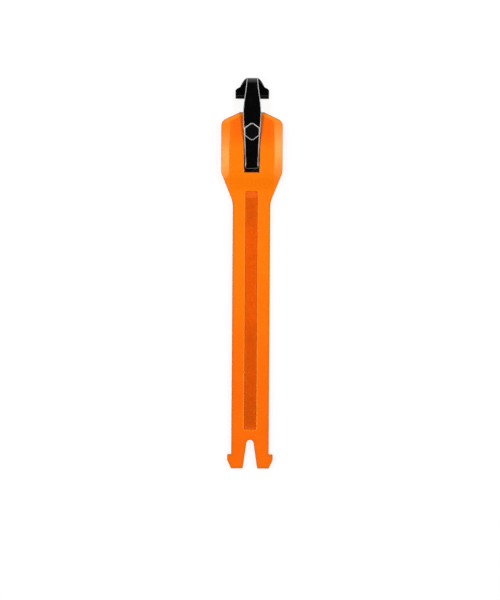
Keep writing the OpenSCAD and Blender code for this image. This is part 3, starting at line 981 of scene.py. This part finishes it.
class AddRack(Operator):
    """Adds the toothed rack on the floor of the channel"""
    bl_idname = "boot_strap.add_rack"
    bl_label = "Ratchet rack"

    def execute(self, context):
        settings = context.scene.boot_strap
        strap, rack = millimetres(settings.strap), millimetres(settings.rack)
        floor = strap.blade_thickness - CHANNEL_DEPTH
        root = floor + RACK_BASE
        half = CHANNEL_W / 2 - RACK_GAP
        (_, low), (_, high) = grown(channel_box(strap), -RACK_GAP)
        lead = CHANNEL_TOP - RACK_LEAD
        count = math.floor((lead - low - CHANNEL_R + RACK_GAP) / rack.pitch)
        bottom = lead - count * rack.pitch
        material = rack_plastic(settings.finishes)

        crest = root + rack.height
        profile = [(lead, floor), (lead, root), (lead, crest - rack.crest), (lead - rack.crest, crest),
                   (lead - rack.pitch, root), (lead - rack.pitch, floor)]
        n = len(profile)
        points = [(x, y, z) for x in (-half, half) for y, z in profile]
        faces = [(k, k + 1, k + 1 + n, k + n) for k in (1, 2, 3)] + [(0, n, 2 * n - 1, n - 1)]
        faces += [tuple(range(n)), tuple(range(2 * n - 1, n - 1, -1))]
        piece = new_piece("ratchet_strip", points, faces, [material])
        teeth = piece.modifiers.new("Teeth", "NODES")
        teeth.node_group = rack_tooth_tree()
        for name, value in (("Teeth", count), ("Pitch", rack.pitch * MM), ("Material", material)):
            set_input(teeth, name, value)
        apply_modifiers(piece)

        corner_r = CHANNEL_R - RACK_GAP
        with editing(piece.data) as bm:
            for near, far, outwards in ((lead, high, 1), (bottom, low, -1)):
                end = rounded(both_sides([(half, near, 0), (half, far, corner_r)]))
                lower, upper = ([bm.verts.new((x * MM, y * MM, z * MM)) for x, y in end]
                                for z in (floor, root))
                for face in [upper[::outwards], lower[::-outwards]] + band(lower, upper)[:-1]:
                    bm.faces.new(face)
        tidy_mesh(piece.data, WELD)
        settle(piece, "strap", "ratchet_rack", sharp=30.0)
        return {"FINISHED"}


class AddHinge(Operator):
    """Adds the folded cradle in the paddle's pocket and the pin that runs through it"""
    bl_idname = "boot_strap.add_hinge"
    bl_label = "Hinge cradle and pin"

    def execute(self, context):
        settings = context.scene.boot_strap
        strap, arm = millimetres(settings.strap), millimetres(settings.arm)
        self.add_cradle(settings.finishes)
        profile = bar_profile(strap.paddle_width - 2 * arm.pin_inset, arm.pin_radius, PIN_EDGE)
        pin = turned("hinge_axle", profile, 0.0, PIN_Z, [pin_steel(settings.finishes)])
        settle(pin, "strap", "hinge_pin")
        return {"FINISHED"}

    def add_cradle(self, finishes):
        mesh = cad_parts["hinge_cradle"].data.copy()
        mesh.materials.clear()
        mesh.materials.append(cradle_coat(finishes))
        with editing(mesh) as bm:
            bmesh.ops.remove_doubles(bm, verts=bm.verts, dist=WELD / 2)
            bmesh.ops.dissolve_limit(bm, angle_limit=math.radians(1), verts=bm.verts, edges=bm.edges)
        cradle = new_object("cradle_liner", mesh)
        bevel = cradle.modifiers.new("Edges", "BEVEL")
        bevel.width = CRADLE_EDGE * MM
        bevel.segments = 2
        bevel.limit_method = "ANGLE"
        bevel.angle_limit = math.radians(40)
        apply_modifiers(cradle)
        settle(cradle, "strap", "hinge_cradle")


def arm_half(arm, y):
    """Half width of the arm at a distance y from the hinge, up to the tip of the hook."""
    if y < ROOT_Y:
        return ARM_HEEL + (ARM_ROOT - ARM_HEEL) * y / ROOT_Y
    if y < BELLY_Y:
        return eased(ARM_ROOT, ARM_BELLY, (y - ROOT_Y) / (BELLY_Y - ROOT_Y))
    return eased(ARM_BELLY, ARM_TIP, (y - BELLY_Y) / (arm.reach - BELLY_Y))


def wing_half(arm, arch, y):
    """Half width of the wings, which flare from the end of the bend and turn in at their lower corners."""
    flare = 1 - min(1.0, (arch.hook_y - y) / FIN_FLARE)
    turn = min(1.0, max(0.0, WING_CORNER - (y - LIP_Y)) / WING_CORNER)
    half = arm.wing_width / 2
    return half - (half - FIN_ROOT) * flare * flare - WING_CORNER * (1 - math.sqrt(1 - turn * turn))


def arm_path(arm, arch, arch_steps=90, bend_steps=60, flare_steps=14, corner_steps=8):
    """Places along the arm's middle line as (y, z, direction, half width), and how many have bare edges."""
    path = []
    for k in range(arch_steps + 1):
        a = arch.angle * (1 - k / arch_steps)
        y = arch.hook_y - arch.radius * math.sin(a)
        path.append((y, arch.crown - arch.radius * (1 - math.cos(a)), a, arm_half(arm, y)))
    for k in range(1, bend_steps + 1):
        a = math.pi / 2 - math.pi * k / bend_steps
        y = arch.hook_y + arch.hook_r * math.cos(a)
        tip = y + arm.thickness / 2 * math.cos(a)
        half = arm_half(arm, tip) if a >= 0 else ARM_TIP + (FIN_ROOT - ARM_TIP) * a / (-math.pi / 2)
        path.append((y, arch.hook_z + arch.hook_r * math.sin(a), a - math.pi / 2, half))
    bare = arch_steps + bend_steps // 2
    for k in range(1, flare_steps + 1):
        y = arch.hook_y - FIN_FLARE * k / flare_steps
        path.append((y, arch.tail_z, -math.pi, wing_half(arm, arch, y)))
    for k in range(corner_steps, 0, -1):
        y = LIP_Y + WING_CORNER * (1 - math.cos(math.pi / 2 * k / corner_steps))
        path.append((y, arch.tail_z, -math.pi, wing_half(arm, arch, y)))
    return path, bare


def pad_seat(arm, arch):
    """Matrix, in millimetres, that sets a form on the floor of the pad's seat in the arm's face."""
    tilt = math.asin((arch.hook_y - PAD_Y) / arch.radius)
    return (Matrix.Translation((0, PAD_Y, float(arch_height(arch, PAD_Y)))) @ Matrix.Rotation(tilt, 4, "X")
            @ Matrix.Translation((0, 0, arm.thickness / 2 - PAD_SEAT)))


def pad_outline():
    corners = [(PAD_TIP_W / 2, PAD_LEN / 2, PAD_CORNER), (PAD_W / 2, PAD_SIDE / 2, PAD_CORNER),
               (PAD_W / 2, -PAD_SIDE / 2, PAD_CORNER), (PAD_TIP_W / 2, -PAD_LEN / 2, PAD_CORNER)]
    return rounded(both_sides(corners), PAD_TURN)[::-1]


class AddArm(Operator):
    """Adds the arched arm with its knuckle, half-turn hook, wings and rolled lip"""
    bl_idname = "boot_strap.add_arm"
    bl_label = "Hook arm"

    def execute(self, context):
        settings = context.scene.boot_strap
        arm = millimetres(settings.arm)
        arch = arch_of(arm)
        materials = [finish(settings.finishes) for finish in (arm_coat, arm_edge, rubbed_coat)]
        piece = self.add_strip(arm, arch, materials)
        knuckle = bar_profile(KNUCKLE_W, KNUCKLE_R, KNUCKLE_EDGE)
        combine(piece, "UNION", turned("knuckle", knuckle, 0.0, PIN_Z, materials))
        combine(piece, "UNION", self.knuckle_web(arm, arch, materials))
        lip = bar_profile(arm.wing_width, LIP_R, LIP_EDGE)
        combine(piece, "UNION", turned("lip", lip, LIP_Y, arch.tail_z + LIP_RISE, materials))
        eye_r = arm.pin_radius + EYE_PLAY
        eye = [(-KNUCKLE_W, eye_r), (KNUCKLE_W, eye_r)]
        combine(piece, "DIFFERENCE", turned("eye", eye, 0.0, PIN_Z, materials))
        combine(piece, "DIFFERENCE", self.seat_cutter(arm, arch, materials))
        tidy_mesh(piece.data, WELD)
        self.mark_knuckle(piece.data)
        self.dull_inside(piece.data, arch)
        settle(piece, "arm", "hook_arm", sharp=14.0)
        return {"FINISHED"}

    def add_strip(self, arm, arch, materials):
        path, bare = arm_path(arm, arch)
        h = arm.thickness / 2
        points, faces, marks = [], [], []
        for i, (y, z, a, half) in enumerate(path):
            e = eased(ROOT_EDGE, BELLY_EDGE, (y - ROOT_Y) / (BELLY_Y - ROOT_Y))
            e += eased(0, ARM_EDGE - BELLY_EDGE, (y - BELLY_Y) / (arch.hook_y - BELLY_Y))
            if i > bare:
                e = eased(ARM_EDGE, WING_EDGE, (i - bare) / EDGE_BLEND)
            side = [(half - e, h), (half, h - e), (half, e - h), (half - e, -h)]
            section = rounded(both_sides([(*p, ARM_EDGE_R) for p in side]), EDGE_TURN)
            section = braced(section, EDGE_BRACE)
            points += [(u, y - v * math.sin(a), z + v * math.cos(a)) for u, v in section]
        n = len(section)
        per_corner = n // 8
        bevel = range(per_corner - 3, per_corner)
        bright = {j + k for j in bevel for k in (0, 6 * per_corner)}
        for i in range(len(path) - 1):
            for j in range(n):
                k = (j + 1) % n
                faces.append((i * n + j, (i + 1) * n + j, (i + 1) * n + k, i * n + k))
                marks.append(BARE if j in bright and i < bare else COATED)
        last = (len(path) - 1) * n
        faces += [tuple(range(n)), tuple(range(last + n - 1, last - 1, -1))]
        return new_piece("hook_lever", points, faces, materials, marks + [COATED] * 2)

    def knuckle_web(self, arm, arch, materials):
        """Web with bare bevels that carries the top of the knuckle over into the arm's face."""
        slope = math.asin((arch.hook_y - WEB_Y) / arch.radius)
        foot = np.array((WEB_Y, float(arch_height(arch, WEB_Y))))
        out = np.array((-math.sin(slope), math.cos(slope)))
        wide, narrow = KNUCKLE_W / 2 - WEB_STEP, KNUCKLE_W / 2 - KNUCKLE_EDGE
        points = []
        for side in (-1, 1):
            points += [(side * wide, 0.0, PIN_Z), (side * wide, *foot)]
            for x, margin in ((wide, KNUCKLE_EDGE), (narrow, 0.0)):
                points.append((side * x, *(foot + (arm.thickness / 2 - margin) * out)))
                points.append((side * x, 0.0, PIN_Z + KNUCKLE_R - margin - WEB_STEP))
        sides = [(0, 1, 2, 3), (6, 7, 8, 9)]
        bevels = [(2, 4, 5, 3), (8, 10, 11, 9)]
        rest = [(4, 10, 11, 5), (1, 7, 8, 10, 4, 2), (0, 3, 5, 11, 9, 6), (0, 6, 7, 1)]
        return new_piece("web", points, sides + rest + bevels, materials, [COATED] * 6 + [BARE] * 2)

    def mark_knuckle(self, mesh):
        """Marks the knuckle's upper edges, worn to the metal, its lower end as bare metal for a painted
        highlight, and the dull face between.
        """
        for face in mesh.polygons:
            y, n = face.center.y / MM, face.normal
            if -KNUCKLE_R < y < WEB_Y / 2 and face.center.z / MM > PIN_Z:
                # Bare metal on the lower end is a painted highlight along the knuckle's end
                end_highlight = n.y < -0.88
                worn_edge = n.z > 0.2 and 0.2 < abs(n.x) < 0.97
                if end_highlight or worn_edge:
                    face.material_index = BARE
                elif y < WEB_STEP:
                    face.material_index = RUBBED

    def dull_inside(self, mesh, arch):
        """Marks the inner side of the hook's lower half."""
        for face in mesh.polygons:
            below = face.center.y / MM > LIP_Y + LIP_R and face.center.z / MM < arch.hook_z
            faces_up = face.normal.z > 0.05
            if below and faces_up and face.material_index == COATED:
                face.material_index = RUBBED

    def seat_cutter(self, arm, arch, materials):
        outline = pad_outline()
        n = len(outline)
        seat = pad_seat(arm, arch)
        points = [seat @ Vector((x, y, z)) for z in (0.0, arm.thickness) for x, y in outline]
        low, high = range(n), range(n, 2 * n)
        return new_piece("seat", points, [tuple(low), tuple(high[::-1])] + band(low, high), materials)


class AddPad(Operator):
    """Adds the grooved grip pad in the arm's face"""
    bl_idname = "boot_strap.add_pad"
    bl_label = "Grip pad"

    def execute(self, context):
        settings = context.scene.boot_strap
        arm = millimetres(settings.arm)
        seat = pad_seat(arm, arch_of(arm))
        grooves = [GROOVE_PITCH * k for k in (-1, 0, 1)]

        def relief(x, y, depth):
            top = soft_min(np.full_like(x, PAD_T), PAD_T - PAD_BEVEL + depth, PAD_CREASE)
            for middle in grooves:
                wall = smooth_step(((GROOVE_W + GROOVE_SLOPE) / 2 - np.abs(y - middle)) / GROOVE_SLOPE)
                top = np.minimum(top, PAD_T - GROOVE_DEPTH * wall)
            return top

        span = PAD_W / 2
        across = np.linspace(PAD_MARGIN - span, span - PAD_MARGIN, PAD_POINTS)
        lines = [(np.column_stack((across, np.full_like(across, middle + off))), False)
                 for middle in grooves for off in GROOVE_LINES]
        outline = divided(pad_outline(), PAD_STEP)
        lines.append((outline + inward(outline) * PAD_BEVEL, True))
        shell = Shell(outline, relief, PAD_EDGE, PAD_FOOT, lines=lines,
                      grids=(((-span, -PAD_LEN / 2), (span, PAD_LEN / 2), PAD_GRID),))
        points = [seat @ Vector(p) for p in shell.points]
        materials = [pad_coat(settings.finishes), arm_edge(settings.finishes)]
        # The rim in bare metal is a painted highlight for the pad's glints
        piece = new_piece("thumb_pad", points, shell.faces, materials, self.glint_faces(shell))
        settle(piece, "arm", "grip_pad", sharp=40.0)
        return {"FINISHED"}

    def glint_faces(self, shell):
        """Marks the faces of the bevelled rim as bare metal, which stands in for glints: a painted highlight.
        """
        middles = np.array([np.mean([shell.points[k] for k in f], axis=0) for f in shell.faces])
        depth = distance_to(shell.outline, middles[:, :2])
        high = middles[:, 2] > PAD_T - PAD_BEVEL
        return (high & (depth > PAD_GLINT_INSET) & (depth < PAD_BEVEL)).astype(int).tolist()


class SetStage(Operator):
    """Sets the camera, the soft lights, the pale floor and the surroundings"""
    bl_idname = "boot_strap.set_stage"
    bl_label = "Stage"

    def execute(self, context):
        scene = context.scene
        stage = scene.boot_strap.stage
        scene.view_settings.view_transform = "Standard"
        self.set_camera(scene, stage)
        for side in (-1, 1):
            self.add_softbox(stage, side)
        self.add_floor(stage)
        self.set_world(scene, stage)
        return {"FINISHED"}

    def set_camera(self, scene, stage):
        data = bpy.data.cameras.new("camera")
        data.lens = stage.focal_length
        data.sensor_width = SENSOR_W
        camera = new_object("camera", data)
        camera.location = (stage.camera_x, stage.camera_y, stage.camera_distance + STRAP_BOX[1].z)
        camera.rotation_euler = (0, 0, stage.camera_roll)
        scene.camera = camera

    def add_softbox(self, stage, side):
        light = bpy.data.lights.new("softbox", "AREA")
        light.shape = "RECTANGLE"
        light.size, light.size_y = SOFTBOX_SIZE
        light.energy = stage.softbox_power
        lamp = new_object("softbox", light)
        x, y, z = SOFTBOX_PLACE
        lamp.location = (side * x, y, z)
        lamp.rotation_euler = (Vector(SOFTBOX_AIM) - lamp.location).to_track_quat("-Z", "Y").to_euler()

    def seen(self, nodes):
        """How far a ray is one that the camera, a gloss or a clear part sends out."""
        path = nodes.add("ShaderNodeLightPath").outputs
        value = path["Is Camera Ray"]
        for name in ("Is Glossy Ray", "Is Transmission Ray"):
            value = nodes.math("MAXIMUM", value, path[name])
        return value

    def choose(self, nodes, unseen, seen, result):
        """Sends one shader to the rays that light the part, and the other to those that see it."""
        inputs = {0: self.seen(nodes), 1: unseen.outputs[0], 2: seen.outputs[0]}
        nodes.add(result, {"Surface": nodes.add("ShaderNodeMixShader", inputs).outputs[0]})

    def empty_tree(self, owner):
        owner.use_nodes = True
        owner.node_tree.nodes.clear()
        return Nodes(owner.node_tree)

    def add_floor(self, stage):
        mesh = bpy.data.meshes.new("floor")
        r = FLOOR_REACH
        corners = [(x, y, FLOOR_Z) for x, y in ((-r, -r), (r, -r), (r, r), (-r, r))]
        mesh.from_pydata(corners, [], [(0, 1, 2, 3)])
        floor = new_object("floor", mesh)
        material = bpy.data.materials.new("pale_floor")
        nodes = self.empty_tree(material)
        pale, shadow = (nodes.add("ShaderNodeBsdfDiffuse", {"Color": (grey, grey, grey, 1.0)})
                        for grey in (FLOOR_TINT, FLOOR_WHITE - stage.floor_glow))
        glow = nodes.add("ShaderNodeEmission", {"Strength": stage.floor_glow})
        white = nodes.add("ShaderNodeAddShader", {0: shadow.outputs[0], 1: glow.outputs[0]})
        self.choose(nodes, pale, white, "ShaderNodeOutputMaterial")
        mesh.materials.append(material)

    def set_world(self, scene, stage):
        world = bpy.data.worlds.new("surroundings")
        nodes = self.empty_tree(world)
        place = nodes.add("ShaderNodeTexCoord").outputs["Generated"]
        height = nodes.add("ShaderNodeSeparateXYZ", {0: place}).outputs["Z"]
        fill, horizon = (nodes.add("ShaderNodeBackground", {"Color": WHITE, "Strength": strength})
                         for strength in (stage.fill, nodes.ramp(height, 0.1, 0.75, 1.0, 0.02)))
        self.choose(nodes, fill, horizon, "ShaderNodeOutputWorld")
        scene.world = world


class BootStrapPanel(Panel):
    """Lists the strap's pieces and sizes"""
    bl_idname = "VIEW3D_PT_boot_strap"
    bl_label = "Boot strap"
    bl_space_type = "VIEW_3D"
    bl_region_type = "UI"
    bl_category = "Boot strap"

    def draw(self, context):
        settings = context.scene.boot_strap
        for operator in (SetStage, AddStrap, AddRack, AddHinge, AddArm, AddPad):
            self.layout.operator(operator.bl_idname)
        for name in ("strap", "rack", "arm", "finishes", "stage"):
            group = getattr(settings, name)
            box = self.layout.box()
            box.label(text=name.capitalize())
            for field in type(group).__annotations__:
                box.prop(group, field)


CLASSES = (StrapSizes, RackSizes, ArmSizes, Finishes, StageSettings, BootStrapSettings,
           AddStrap, AddRack, AddHinge, AddArm, AddPad, SetStage, BootStrapPanel)


def register():
    for cls in CLASSES:
        bpy.utils.register_class(cls)
    bpy.types.Scene.boot_strap = PointerProperty(type=BootStrapSettings)


def unregister():
    del bpy.types.Scene.boot_strap
    for cls in reversed(CLASSES):
        bpy.utils.unregister_class(cls)


def main():
    register()
    for piece in ("set_stage", "add_strap", "add_rack", "add_hinge", "add_arm", "add_pad"):
        getattr(bpy.ops.boot_strap, piece)()


if __name__ == "__main__":
    main()
